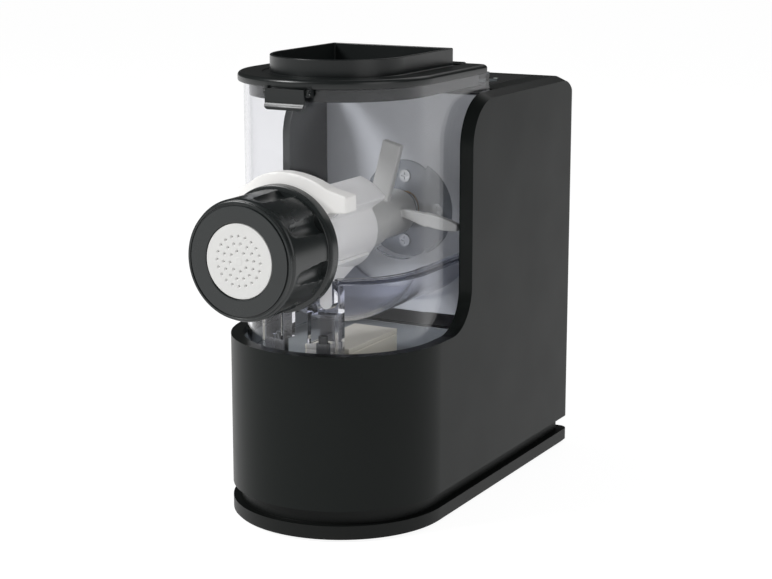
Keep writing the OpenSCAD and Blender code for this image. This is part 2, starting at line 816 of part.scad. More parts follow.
module lid() {
    rim_t = 2;
    skirt_r = bowl_r - bowl_t - 0.8;
    feed_slots = 7;
    color("#24282a") stand() difference() {
        union() {
            // flange
            d_slab(lid_r, lid_back, lid_top - rim_t, lid_top);
            difference() {
                d_slab(lid_r, lid_back, lid_under, lid_top - 1);
                d_slab(lid_r - rim_t, lid_back - rim_t, lid_under - 1, lid_top);
            }
            // skirt inside the bowl
            difference() {
                d_slab(skirt_r, lid_back - 0.8, 256.6, lid_top - 1);
                d_slab(skirt_r - 1.6, lid_back - 2.4, 250, lid_top);
            }
            // filling collar and its floor
            d_slab(collar_r, 132, lid_under - 2.3, collar_top);
            // hinge knuckles
            both_sides() {
                cross_rod(hinge_y, hinge_z, hinge_r, 24.3, 35.7);
                block(24.3, 35.7, lid_back - 1.5, hinge_y, 264.8, 268.6);
            }
            // lugs of the clip
            both_sides() {
                cross_rod(clip_pin_y, clip_pin_z, 2.2, clip_half + 0.3, clip_half + 1.9);
                block(clip_half + 0.3, clip_half + 1.9, clip_pin_y, 10.4, clip_pin_z - 2.1, lid_under + 1.2);
            }
        }
        cross_rod(clip_pin_y, clip_pin_z, 1, -20, 20);
        // inside of the collar
        d_slab(collar_r - 1.8, 130.2, lid_under, collar_top + 1);
        // shallow recess around the collar
        translate([0, 0, lid_top - 0.8]) linear_extrude(height = 2) difference() {
            d_plan(collar_r + 5, 136);
            d_plan(collar_r, 132);
        }
        for (i = [0:feed_slots - 1]) translate([0, 54 + i * 10, lid_under - 3]) cube([58 - (i == 0 ? 14 : 0), 3.4, 8], center = true);
        both_sides() cross_rod(hinge_y, hinge_z, 1.55, 20, 40);
    }
}

module clip_pin() {
    color("#c9cccc") stand() cross_rod(clip_pin_y, clip_pin_z, 1, -clip_half - 1.9, clip_half + 1.9);
}

module lid_clip() {
    color("#24282a") stand() difference() {
        union() {
            block(-clip_half, clip_half, 2.6, 4.4, 254.6, lid_under + 0.3);
            // lip that the fingers pull
            translate([-clip_half, 1.4, 252.8]) cube([2 * clip_half, 1.8, 1.9]);
            translate([-clip_half, 2.2, 253.8]) cube([2 * clip_half, 1.8, 1.7]);
            block(-clip_half, clip_half, 4, clip_pin_y, clip_pin_z - 1.4, clip_pin_z + 1.4);
            cross_rod(clip_pin_y, clip_pin_z, 1.7, -clip_half, clip_half);
        }
        cross_rod(clip_pin_y, clip_pin_z, 1.05, -20, 20);
    }
}

// ---- press ------------------------------------------------------------------------------

// Outline of the two finger wings behind the cap nut, seen from the front
module wing_outline() {
    arch_r = 43.2;
    tip_z = [20.8, 30.4];
    knee = [25.5, 34.6];
    intersection() {
        circle(r = arch_r);
        translate([-knee[0], tip_z[0]]) square([2 * knee[0], arch_r]);
    }
    for (s = [-1, 1]) polygon([[s * 20, tip_z[0]], [s * wing_reach, tip_z[0]], [s * wing_reach, tip_z[1]],
        [s * 31, 32], [s * knee[0], knee[1]], [s * 20, knee[1]]]);
}

// Sector of a ring between two angles that are less than 180 degrees apart
module ring_sector(ro, ri, a0, a1) {
    mid = (a0 + a1) / 2;
    difference() {
        intersection() {
            circle(r = ro);
            polygon([[0, 0], polar(2 * ro, a0), polar(2 * ro, mid), polar(2 * ro, a1)]);
        }
        circle(r = ri);
    }
}

module press_tube() {
    color("#e8e7e3") stand() difference() {
        union() {
            rod(0, axis_z, tube_r, -30, tube_end);
            // threaded collar for the cap nut
            rod(0, axis_z, collar_thread_r, -40, -2);
            rod(0, axis_z, 34, 0.2, 4);
            // finger wings that follow the round front of the bowl
            intersection() {
                along_y(-1, 24) wing_outline();
                translate([0, wing_front_r + 0.5, axis_z]) cylinder(r = wing_front_r, h = 60, $fn = 180);
                translate([0, front_cy, axis_z]) difference() {
                    cylinder(r = 2 * half_w, h = 60);
                    translate([0, 0, -1]) cylinder(r = bowl_r + wing_gap, h = 62, $fn = 180);
                }
            }
            rod(0, axis_z, tube_r + 1.2, -2.5, 9.5);
            // hood over the dough inlet
            along_y(hood_front, tube_end - 0.2) ring_sector(hood_r, tube_r - 2, hood_turn[0], hood_turn[1]);
        }
        rod(0, axis_z, tube_bore_r, -41, tube_end + 1);
        // inside of the hood, open into the tube and towards the back
        along_y(hood_front + 6, tube_end + 1)
            ring_sector(hood_r - hood_t, tube_bore_r - 2, hood_turn[0] + 5, hood_turn[1] - 5);
    }
}

// Room in the bowl for the cradle
module cradle_room() {
    trough(trough_r - 0.5);
    block(-40, 40, 14, 80, ledge_z + 0.3, axis_z);
    both_sides() block(leg_x - leg_half, leg_x + leg_half, 16, 23.8, leg_z, 170);
}

// Cradle under the press tube, with two legs that drop into the sockets of the bowl
module tube_socket() {
    fin = [[9, 66], [11.4, 66], [21.2, 19.4], [18.8, 19.4]];
    slope = atan2(6.8, 46.6);
    color("#dcdbd8") stand() difference() {
        union() {
            intersection() {
                along_y(17.4, 66) ring_sector(tube_r + 2.3, tube_r + 0.3, 214, 326);
                cradle_room();
            }
            both_sides() {
                block(leg_x - leg_half, leg_x + leg_half, 17.8, 20.8, leg_z, 164);
                rod(leg_x, leg_z, leg_half, 17.8, 20.8);
                intersection() {
                    translate([0, 0, 147]) linear_extrude(height = 20) polygon(fin);
                    cradle_room();
                    translate([0, 19.4, 148.2]) rotate([slope, 0, 0]) translate([0, -10, 0]) cube([40, 80, 40]);
                }
            }
        }
        rod(0, axis_z, tube_r + 0.3, 10, 70);
    }
}

module press_screw() {
    core_r = 7;
    flight_r = tube_bore_r - 0.6;
    flight_t = 3;
    flight_y = [-38, 62];
    turns = (flight_y[1] - flight_y[0]) / screw_pitch;
    color("#e4e3dd") stand() {
        along_screw(flight_y, turns) {
            circle(r = core_r, $fn = 20);
            translate([0, -flight_t]) square([flight_r, 2 * flight_t]);
        }
        rod(0, axis_z, core_r, flight_y[1], 84);
    }
}

module along_screw(span, turns) {
    translate([0, span[1], axis_z]) rotate([90, 0, 0])
        linear_extrude(height = span[1] - span[0], twist = -360 * turns, slices = round(22 * turns), $fn = 24) children();
}

module output_shaft() {
    color("#c9cccc") stand() {
        rod(0, axis_z, shaft_r, 118, 196);
        rod(0, axis_z, 5, 100, 118);
    }
}

module shaft_clip() {
    color("#9a9d9d") stand() sleeve(0, axis_z, 11, shaft_r, case_y[1] + 0.4, case_y[1] + 1.6);
}

// Bar of the paddle that points away from the axis at angle a
module paddle_arm(a, y, reach, w, t) {
    rotate_about_axis(a) translate([0, y - t / 2, -w / 2]) cube([reach, t, w]);
}

module paddle() {
    // angle, place along the shaft, reach and width of each arm
    arms = [[75.3, 110, 49.5, 13], [-2.5, 120, 51, 8], [197, 127, 50, 13]];
    color("#dddcd6") stand() difference() {
        union() {
            rod(0, axis_z, 16.5, 73, 100);
            rod(0, axis_z, 14.5, 99, 138);
            rod(0, axis_z, 13, 137, 142.8);
            for (p = arms) paddle_arm(p[0], p[1], p[2], p[3], 5);
        }
        rod(0, axis_z, 7 + 3 * snug, 70, 84);
        rod(0, axis_z, 5, 99.9, 120);
        rod(0, axis_z, shaft_r, 118, 150);
    }
}

// ---- cap nut and die -----------------------------------------------------------------------

module cap_nut() {
    barrel_r = 34.6;
    flute_r = 7;
    flute_depth = 3.6;
    flute_end = -8.5;
    color("#2b3132") stand() difference() {
        union() {
            // barrel with a round front edge, then the rear flange
            translate([0, 0, axis_z]) rotate([90, 0, 0]) rotate_extrude($fn = 144) difference() {
                union() {
                    translate([0, -nut_back]) square([nut_flange_r, 7]);
                    translate([0, -nut_back + 6]) square([barrel_r, nut_reach + nut_back - 8.5]);
                    translate([0, nut_reach - 3]) square([barrel_r - 2.5, 3]);
                    translate([barrel_r - 2.5, nut_reach - 2.5]) circle(r = 2.5);
                }
                translate([barrel_r - 0.7, nut_reach - 4.6]) square([5, 1]);
                translate([0, 20]) square([1, 50]);
            }
        }
        rod(0, axis_z, die_r + 0.3, -nut_reach - 1, 0);
        rod(0, axis_z, collar_thread_r + 0.3, -nut_reach + 3, 0);
        // grip flutes that run out towards the front
        for (i = [0:nut_flutes - 1]) rotate_about_axis(flute_phase + i * 360 / nut_flutes)
            translate([barrel_r + flute_r - flute_depth, flute_end, 0]) rotate([90, 0, 0]) rotate([0, 5, 0]) cylinder(r = flute_r, h = 34);
    }
}

module die() {
    color("#f0efec") stand() difference() {
        union() {
            rod(0, axis_z, die_r, -nut_reach, -nut_reach + 4);
            rod(0, axis_z, collar_thread_r - 0.2, -nut_reach + 3.2, -nut_reach + 6);
        }
        for (ring = die_ring) for (i = [0:ring[1] - 1])
            rotate_about_axis(i * 360 / ring[1]) rod(ring[0], 0, die_hole_d / 2, -nut_reach - 1, -nut_reach + 7, $fn = 24);
    }
}

module die_gasket() {
    color("#c8ccd0") stand() sleeve(0, axis_z, collar_thread_r - 0.2, tube_bore_r, -nut_reach + 6, -40);
}

base_plate();
rubber_feet();
base_screws();
housing();
bowl_seat();
locating_pegs();
rear_cover();
rear_screws();
cord_gland();
control_panel();
indicator_lenses();
control_board();
power_board();
run_capacitor();
gearbox_case();
gearbox_cover();
gearbox_screws();
output_bushes();
idler_axle();
motor_front_bell();
motor_rear_bell();
motor_stator();
motor_windings();
motor_bolts();
motor_bushes();
bowl_switch();
bowl();
bearing_plate();
plate_screws();
shaft_seal();
tray_base();
tray_cover();
cleaning_tool();
hinge_pins();
tube_socket();
press_tube();
output_shaft();
output_gear();
paddle();
press_screw();
shaft_clip();
idler_gear();
motor_rotor();
motor_shaft();
motor_pinion();
cooling_fan();
die();
die_gasket();
cap_nut();
lid();
clip_pin();
lid_clip();
power_button();
start_button();
less_button();
more_button();
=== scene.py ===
import math

import bmesh
import bpy
from mathutils import Matrix, Vector


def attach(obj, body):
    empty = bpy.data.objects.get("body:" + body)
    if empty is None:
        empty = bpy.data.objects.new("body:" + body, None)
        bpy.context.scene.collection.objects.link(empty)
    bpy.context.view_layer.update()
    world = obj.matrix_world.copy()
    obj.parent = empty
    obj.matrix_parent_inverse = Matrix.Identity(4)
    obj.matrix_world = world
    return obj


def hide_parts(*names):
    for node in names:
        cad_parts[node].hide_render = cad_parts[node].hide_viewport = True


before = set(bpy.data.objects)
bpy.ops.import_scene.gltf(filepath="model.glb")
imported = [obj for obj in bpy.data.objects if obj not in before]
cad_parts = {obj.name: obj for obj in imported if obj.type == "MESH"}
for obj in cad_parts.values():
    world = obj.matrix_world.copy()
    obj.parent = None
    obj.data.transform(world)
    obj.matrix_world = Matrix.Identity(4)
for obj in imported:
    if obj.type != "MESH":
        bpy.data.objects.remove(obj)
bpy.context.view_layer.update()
bpy.ops.object.select_all(action="DESELECT")
for spare in ("Cube", "Light", "Camera"):
    if spare in bpy.data.objects:
        bpy.data.objects.remove(bpy.data.objects[spare])

# ---- foot -----------------------------------------------------------------------------------
# Black ABS plate that the housing stands on, moulded, with a satin skin that hides scratches.
# Its edges are rounded by the mould, and four rubber pads and six screws sit underneath.


def tint(colour):
    """A colour written as sRGB hex, as the linear values that the shaders take"""
    parts = [int(colour[i:i + 2], 16) / 255 for i in (0, 2, 4)]
    return tuple(p / 12.92 if p <= 0.04045 else ((p + 0.055) / 1.055) ** 2.4 for p in parts) + (1,)


def add(material, kind, settings=None, inputs=None):
    """Adds one node with its settings; an input is a value or the output that feeds it"""
    made = material.node_tree.nodes.new(kind)
    for name, value in (settings or {}).items():
        setattr(made, name, value)
    for name, value in (inputs or {}).items():
        if isinstance(value, bpy.types.NodeSocket):
            material.node_tree.links.new(value, made.inputs[name])
        else:
            made.inputs[name].default_value = value
    return made


def moulded(name, colour, rough, grain_mm=0.4, relief=0.04, patches=0.05, specular=0.5,
            metallic=0):
    """Injection moulded plastic: spark-eroded grain in the skin and faint changes of gloss"""
    cloud_scale, grain_depth, plastic_ior = 28.0, 0.0002, 1.53
    material = bpy.data.materials.new(name)
    material.use_nodes = True
    material.node_tree.nodes.clear()
    place = add(material, "ShaderNodeTexCoord").outputs["Object"]
    cloudy = add(material, "ShaderNodeTexNoise", None,
                 {"Vector": place, "Scale": cloud_scale, "Detail": 3.0})
    sheen = add(material, "ShaderNodeMapRange", None,
                {"Value": cloudy.outputs[0], "To Min": rough - patches, "To Max": rough + patches})
    grain = add(material, "ShaderNodeTexNoise", None,
                {"Vector": place, "Scale": 1000 / grain_mm / 2, "Detail": 2.0, "Roughness": 0.6})
    skin = add(material, "ShaderNodeBump", None,
               {"Height": grain.outputs[0], "Strength": relief, "Distance": grain_depth})
    shader = add(material, "ShaderNodeBsdfPrincipled", None, {
        "Base Color": tint(colour), "Roughness": sheen.outputs[0], "Normal": skin.outputs[0],
        "Specular IOR Level": specular, "Metallic": metallic})
    if not metallic:
        shader.inputs["IOR"].default_value = plastic_ior
    add(material, "ShaderNodeOutputMaterial", None, {"Surface": shader.outputs[0]})
    return material


def metal(name, colour, rough, grain_mm, relief, share=1):
    """Metal with such a grain; it keeps the default IOR, and a dull film lowers its share"""
    return moulded(name, colour, rough, grain_mm, relief, metallic=share)


MERGE_M = 0.000002     # corners closer than this, in metres, are one
FACE_WEIGHT = 80       # how far large faces rule the shading of rounded edges


def dress(node, material, edge_mm=0.3, steps=2):
    """Gives a CAD node its finish and the small radius that its edges have from the mould"""
    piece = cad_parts[node]
    piece.data.materials.clear()
    piece.data.materials.append(material)
    piece.data.shade_smooth()
    piece.modifiers.new("merge", "WELD").merge_threshold = MERGE_M
    if edge_mm:
        flat = piece.modifiers.new("flat", "DECIMATE")
        flat.decimate_type, flat.angle_limit = "DISSOLVE", math.radians(0.4)
        edge = piece.modifiers.new("edge", "BEVEL")
        edge.width, edge.segments = edge_mm / 1000, steps
        edge.limit_method, edge.angle_limit = "ANGLE", math.radians(32)
    piece.modifiers.new("shade", "WEIGHTED_NORMAL").weight = FACE_WEIGHT


# The satin ABS shows wide, soft highlights, the rubber next to none and the zinc a pale glint.
foot_abs = moulded("ABS satin black, moulded", "141615", 0.45, specular=0.15)
foot_rubber = moulded("EPDM rubber matt, moulded", "2a2a29", 0.75, 0.5, 0.1)
zinc_screw = metal("steel zinc plated", "b9bab8", 0.3, 0.6, 0.03)
dress("base_plate", foot_abs, 0.7, 3)
dress("rubber_feet", foot_rubber, 0.4)
dress("base_screws", zinc_screw, 0.15)

# ---- housing --------------------------------------------------------------------------------
# The one-piece shell: a drum with a round front, two cheeks beside the bowl and the tower.
# Black ABS, moulded with a fine satin skin; a wide chamfer runs round both cheeks.

FRAME_Y = 107.9    # from the front of the housing back to the frame's origin
AXIS_Z = 174.7     # height of the press and of its shaft
ROUND_Y = 67.5     # centre of the round fronts of housing, bowl and lid


def at(x, y, z):
    """A place in millimetres from the front of the housing, as a point of the frame"""
    return Vector((x, y - FRAME_Y, z)) / 1000


def draw(name, points, closed=True):
    """Draws an outline: one corner, pulled on from point to point"""
    bpy.ops.object.select_all(action="DESELECT")
    bpy.ops.mesh.primitive_plane_add(size=0.001, location=(0, 0, 0))
    piece = bpy.context.object
    piece.name = piece.data.name = name
    bpy.ops.object.mode_set(mode="EDIT")
    bpy.ops.mesh.merge(type="CENTER")
    bpy.ops.transform.translate(value=points[0])
    for before, after in zip(points, points[1:]):
        bpy.ops.mesh.extrude_region_move(TRANSFORM_OT_translate={"value": after - before})
    if closed:
        bpy.ops.mesh.select_all(action="SELECT")
        ends = bmesh.from_edit_mesh(piece.data)
        ends.verts.ensure_lookup_table()
        for corner in ends.verts:
            corner.select_set(len(corner.link_edges) < 2)
        ends.select_flush_mode()
        bmesh.update_edit_mesh(piece.data)
        bpy.ops.mesh.edge_face_add()
    bpy.ops.mesh.select_all(action="SELECT")
    return piece


def close_up(piece):
    """Leaves edit mode with doubles merged and faces pointing outwards"""
    bpy.ops.mesh.select_all(action="SELECT")
    bpy.ops.mesh.remove_doubles(threshold=MERGE_M)
    bpy.ops.mesh.normals_make_consistent(inside=False)
    bpy.ops.object.mode_set(mode="OBJECT")
    return piece


def plate(name, points, way):
    """Fills an outline and pulls it into a plate or bar"""
    piece = draw(name, points)
    bpy.ops.mesh.edge_face_add()
    bpy.ops.mesh.extrude_region_move(TRANSFORM_OT_translate={"value": way})
    return close_up(piece)


def ribs(name, loops):
    """Draws the first loop, pulls it through the others in turn and caps both ends"""
    piece = draw(name, loops[0])
    bpy.ops.mesh.edge_face_add()
    bpy.ops.mesh.duplicate()
    bpy.ops.mesh.delete(type="ONLY_FACE")
    work = bmesh.from_edit_mesh(piece.data)
    for corner in work.verts:
        corner.select_set(corner.index >= len(loops[0]))
    work.select_flush_mode()
    for before, after in zip(loops, loops[1:]):
        bpy.ops.mesh.extrude_edges_move()
        work = bmesh.from_edit_mesh(piece.data)
        for corner in [v for v in work.verts if v.select]:
            corner.co = min(zip(before, after),
                            key=lambda pair: (pair[0] - corner.co).length_squared)[1]
        bmesh.update_edit_mesh(piece.data)
    bpy.ops.mesh.edge_face_add()
    return close_up(piece)


def d_line(half, back, z, corner=0.0, bend=96):
    """Plan outline at a height: a round front, straight sides and rear corners"""
    line = []
    for i in range(bend + 1):
        turn = math.pi * (1 + i / bend)
        line.append(at(half * math.cos(turn), ROUND_Y + half * math.sin(turn), z))
    if corner:
        for side, start in ((1, 0), (-1, 90)):
            for i in range(9):
                turn = math.radians(start + i * 90 / 8)
                line.append(at(side * (half - corner) + corner * math.cos(turn),
                               back - corner + corner * math.sin(turn), z))
    else:
        line += [at(half, back, z), at(-half, back, z)]
    return line


def d_block(name, half, back, z0, z1, corner=0.0, bend=96):
    """Block with that plan outline between two heights"""
    way = Vector((0, 0, (z1 - z0) / 1000))
    return plate(name, d_line(half, back, z0, corner, bend), way)


def box(name, x0, x1, y0, y1, z0, z1):
    """Block between two corners"""
    bpy.ops.object.select_all(action="DESELECT")
    middle = at((x0 + x1) / 2, (y0 + y1) / 2, (z0 + z1) / 2)
    bpy.ops.mesh.primitive_cube_add(size=1, location=middle)
    bpy.context.object.dimensions = ((x1 - x0) / 1000, (y1 - y0) / 1000, (z1 - z0) / 1000)
    return settle(name)


def side_box(name, side, x0, x1, y0, y1, z0, z1):
    """Block on the right side (1), or its mirror image on the left (-1)"""
    return box(name, *sorted((side * x0, side * x1)), y0, y1, z0, z1)


def settle(name):
    """Names the new piece and moves its place, turn and size into its mesh"""
    bpy.ops.object.transform_apply(location=True, rotation=True, scale=True)
    piece = bpy.context.object
    piece.name = piece.data.name = name
    return piece


def bar(name, start, end, radius, sides=64):
    """Round bar between two places"""
    way = end - start
    bpy.ops.object.select_all(action="DESELECT")
    bpy.ops.mesh.primitive_cone_add(
        vertices=sides, radius1=radius / 1000, radius2=radius / 1000, depth=way.length,
        location=(start + end) / 2, rotation=way.to_track_quat("Z", "Y").to_euler())
    return settle(name)


def cross_bar(name, x0, x1, y, z, radius, sides):
    """Round bar that lies across the machine"""
    return bar(name, at(x0, y, z), at(x1, y, z), radius, sides)


def work_on(piece, tool, how="DIFFERENCE"):
    """Cuts the tool out of the piece, joins it on or keeps what they share"""
    bpy.ops.object.select_all(action="DESELECT")
    bpy.context.view_layer.objects.active = piece
    step = piece.modifiers.new(how, "BOOLEAN")
    step.operation, step.solver, step.object = how, "EXACT", tool
    bpy.ops.object.modifier_apply(modifier=step.name)
    bpy.data.objects.remove(tool)
    return piece


def together(pieces):
    """Makes one object of several that don't touch"""
    bpy.ops.object.select_all(action="DESELECT")
    for piece in pieces:
        piece.select_set(True)
    bpy.context.view_layer.objects.active = pieces[0]
    bpy.ops.object.join()
    return pieces[0]


def cut(piece, *tools):
    """Cuts each tool out of the piece"""
    for tool in tools:
        work_on(piece, tool)
    return piece


def join(piece, *tools):
    """Joins each tool on to the piece"""
    for tool in tools:
        work_on(piece, tool, "UNION")
    return piece


def shared(piece, tool):
    """Keeps what the piece shares with the tool"""
    return work_on(piece, tool, "INTERSECT")


def soften(piece, edge_mm=0.3, steps=3, angle=32, smooth=30):
    """Rounds the edges as the mould does, then shades the piece smooth"""
    bpy.ops.object.select_all(action="DESELECT")
    bpy.context.view_layer.objects.active = piece
    piece.select_set(True)
    bpy.ops.object.mode_set(mode="EDIT")
    bpy.ops.mesh.select_all(action="SELECT")
    bpy.ops.mesh.remove_doubles(threshold=2 * MERGE_M)
    bpy.ops.mesh.dissolve_limited(angle_limit=math.radians(0.3))
    bpy.ops.object.mode_set(mode="OBJECT")
    if edge_mm:
        edge = piece.modifiers.new("edge", "BEVEL")
        edge.width, edge.segments = edge_mm / 1000, steps
        edge.limit_method, edge.angle_limit = "ANGLE", math.radians(angle)
        bpy.ops.object.modifier_apply(modifier=edge.name)
    bpy.ops.object.shade_smooth_by_angle(angle=math.radians(smooth))
    shade = piece.modifiers.new("shade", "WEIGHTED_NORMAL")
    shade.keep_sharp, shade.weight = True, FACE_WEIGHT
    return piece


def finish(piece, material, body, slot, *nodes):
    """Gives the piece its finish and says what it rides on and stands for"""
    piece.data.materials.clear()
    piece.data.materials.append(material)
    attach(piece, body)
    if nodes:
        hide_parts(*nodes)
    return piece


SHELL_HALF, SHELL_BACK, SHELL_FOOT = 67.5, 263, 19.1
RIM_Z, TOP_Z = 112, 253.5                 # rim of the drum and top of the tower
CHEEK_Y = 105                             # front edge of the cheeks
RISE_R, SHOULDER_R, REAR_R = 25, 31, 20   # bends of the side outline, from rim to back
CHAMFER, CHAMFER_X, SIDE_X = 3.14, 60.9, 67.6


def side_line(x, inset):
    """Side outline of the housing; the inset grows from nothing at the rim to its full width"""
    steps, rear_steps = 24, 16
    line = [at(x, -10, 10), at(x, -10, RIM_Z)]
    for i in range(steps + 1):
        turn = math.radians(-90 + 90 * i / steps)
        r = RISE_R + inset * i / steps
        line.append(at(x, CHEEK_Y - RISE_R + r * math.cos(turn),
                       RIM_Z + RISE_R + r * math.sin(turn)))
    for i in range(steps + 1):
        turn = math.radians(180 - 90 * i / steps)
        r = SHOULDER_R - inset
        line.append(at(x, CHEEK_Y + SHOULDER_R + r * math.cos(turn),
                       TOP_Z - SHOULDER_R + r * math.sin(turn)))
    for i in range(rear_steps + 1):
        turn = math.radians(90 - 90 * i / rear_steps)
        r = REAR_R - inset * (1 - 0.7 * i / rear_steps)
        line.append(at(x, SHELL_BACK - REAR_R + r * math.cos(turn),
                       TOP_Z - REAR_R + r * math.sin(turn)))
    line.append(at(x, SHELL_BACK - 0.3 * inset, 10))
    return line


# The skin is darker than the lid's and mirrors little, so that the sides stay an even black.
housing_abs = moulded("ABS semi-gloss black, moulded housing", "181b1a", 0.36, relief=0.03,
                      specular=0.1)
WELL_HALF, WELL_BACK = 60, 152
INSIDE_HALF, INSIDE_BACK, TOWER_Y = 64.5, 257.5, 151.5
TOWER_HALF, TOWER_BACK = 65.3, 258.3      # no two inner walls lie in one plane
BOSS_R, BORE_R = 5, 1.9
shell = d_block("housing_shell", SHELL_HALF, SHELL_BACK, SHELL_FOOT, 300, 6, 160)
shared(shell, ribs("sides", [side_line(x, inset) for x, inset in (
    (-SIDE_X, CHAMFER), (-CHAMFER_X, 0), (CHAMFER_X, 0), (SIDE_X, CHAMFER))]))
cut(shell,
    d_block("well", WELL_HALF, WELL_BACK, 95, 262, 0, 160),
    d_block("drum inside", INSIDE_HALF, INSIDE_BACK, 22.1, 108),
    d_block("opening below", 56.5, 252, 16, 23),
    box("tower inside", -TOWER_HALF, TOWER_HALF, TOWER_Y, TOWER_BACK, 107, 231.5),
    box("tower top inside", -INSIDE_HALF, INSIDE_HALF, TOWER_Y, 243.5, 230, 249.5),
    box("panel seat", -48, 48, 170, 236, 251.5, 260),
    box("panel opening", -44, 44, 174, 232, 247, 260),
    box("cover seat", -52, 52, 260.4, 270, 34, 228),
    box("cover opening", -38, 38, 255, 270, 38, 224))
for x in (-53, 53):
    for y in (62, 150, 236):
        join(shell, bar("boss", at(x, y, SHELL_FOOT), at(x, y, SHELL_FOOT + 18), BOSS_R, 32))
        cut(shell, bar("bore", at(x, y, 18), at(x, y, 34), BORE_R, 24))
soften(shell, 0.35, 3, 17, 30)
finish(shell, housing_abs, "base", "housing_black", "housing")

# ---- bowl seat and pegs ---------------------------------------------------------------------
# Grey ABS moulding screwed into the shell: the floor of the well with its ring, and the bulkhead
# behind the bowl. The bulkhead's front faces are painted near-white, which is painted light
# standing in for the light that falls on them through the bowl. Two dark pegs on the floor hold
# the bowl's sockets.

seat_abs = moulded("ABS satin slate grey, moulded", "8f9496", 0.5, 0.4, 0.02)
peg_abs = moulded("ABS satin dark grey, moulded pegs", "2c2f31", 0.5)
# A near-white copy of the seat's satin ABS: painted light for the bulkhead's front faces.
painted_light_wall_abs = moulded("ABS light grey, painted light on bulkhead front", "f0f2f2", 0.4, 0.4, 0.02)
dress("bowl_seat", seat_abs, 0.3)
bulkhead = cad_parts["bowl_seat"].data
bulkhead.materials.append(painted_light_wall_abs)
# Faces that look forward from the bulkhead get the near-white copy: painted light, not the
# moulding's own colour.
for face in bulkhead.polygons:
    face.material_index = int(face.normal.y < -0.9 and face.center.y > at(0, 151, 0).y)
dress("locating_pegs", peg_abs, 0.3)

# ---- rear cover, lead grommet and screws ----------------------------------------------------
# Black ABS panel with two columns of vents that cool the motor, held by six zinc plated screws.
# The grommet is moulded rubber and fills the hole in which the mains lead sits.

cover_abs = moulded("ABS satin black, moulded rear cover", "242727", 0.45)
dress("rear_cover", cover_abs, 0.35)
dress("rear_screws", zinc_screw, 0.15)
dress("cord_gland", foot_rubber, 0.5)

# ---- control panel --------------------------------------------------------------------------
# Gloss black plate, clipped into its seat on the tower, with four sprung satin keys. A small
# frosted light guide sits behind each key.

panel_gloss = moulded("ABS gloss black, polished panel", "141617", 0.14, 0.8, 0.01, 0.02)
key_abs = moulded("ABS satin grey, moulded keys", "4a5053", 0.45)
lens_pmma = moulded("PMMA frosted white, light guide", "dfe8e4", 0.3)
dress("control_panel", panel_gloss, 0.25)
dress("indicator_lenses", lens_pmma, 0.15)
for key in ("power_button", "start_button", "less_button", "more_button"):
    dress(key, key_abs, 0.3, 3)

# ---- drive and electrics inside the tower ---------------------------------------------------
# Die cast gearbox and motor bells, laminated core, copper windings, nylon gears and two boards,
# screwed together inside the tower. Each keeps the bare finish of its own making.

cast_alu = metal("aluminium die cast", "b4b6b6", 0.45, 0.8, 0.15)
ground_steel = metal("steel ground and polished", "c9cccc", 0.22, 0.4, 0.03)
bronze = metal("bronze sintered", "a07a4a", 0.45, 0.3, 0.15)
core_steel = metal("electrical steel laminated", "7a7d7e", 0.45, 0.5, 0.2)
copper = metal("copper wire enamelled", "a8532c", 0.35, 0.6, 0.3)
nylon = moulded("nylon natural, moulded gears", "ddd8c8", 0.5)
board_mask = moulded("FR4 solder mask green", "1f5f3c", 0.35)
can_grey = moulded("PBT light grey, capacitor can", "cfcfc9", 0.4)
fan_abs = moulded("ABS light grey, fan", "c9cac7", 0.45)
switch_pbt = moulded("PBT black, switch", "1c1c1e", 0.5)
for nodes, material in (
        (("gearbox_case", "gearbox_cover", "motor_front_bell", "motor_rear_bell"), cast_alu),
        (("gearbox_screws", "motor_bolts", "shaft_clip"), zinc_screw),
        (("idler_axle", "output_shaft", "motor_shaft", "hinge_pins", "clip_pin"), ground_steel),
        (("output_bushes", "motor_bushes", "motor_pinion"), bronze),
        (("motor_stator", "motor_rotor"), core_steel),
        (("motor_windings",), copper),
        (("output_gear", "idler_gear"), nylon),
        (("control_board", "power_board"), board_mask),
        (("run_capacitor",), can_grey),
        (("cooling_fan",), fan_abs),
        (("bowl_switch",), switch_pbt)):
    for node in nodes:
        dress(node, material, 0)

# ---- tray and cleaning tool -----------------------------------------------------------------
# Cream ABS box with a flat cover that lies in the well under the bowl; the tool that clears the
# holes of a die lies inside it.

tray_abs = moulded("ABS cream, moulded tray", "ece7d8", 0.5)
tool_abs = moulded("ABS white, moulded tool", "ecebe6", 0.38)
dress("tray_base", tray_abs, 0.9, 4)
dress("tray_cover", tray_abs, 0.9, 4)
dress("cleaning_tool", tool_abs, 0.2)

# ---- bowl -----------------------------------------------------------------------------------
# Clear smoky copolyester, moulded in one: wall, half-round trough on a ledge, two sockets over
# the pegs, hinge ears and the catch of the clip. Its tool was polished where the wall is clear
# and left duller under the trough and the skirt, so those two look a little hazy.


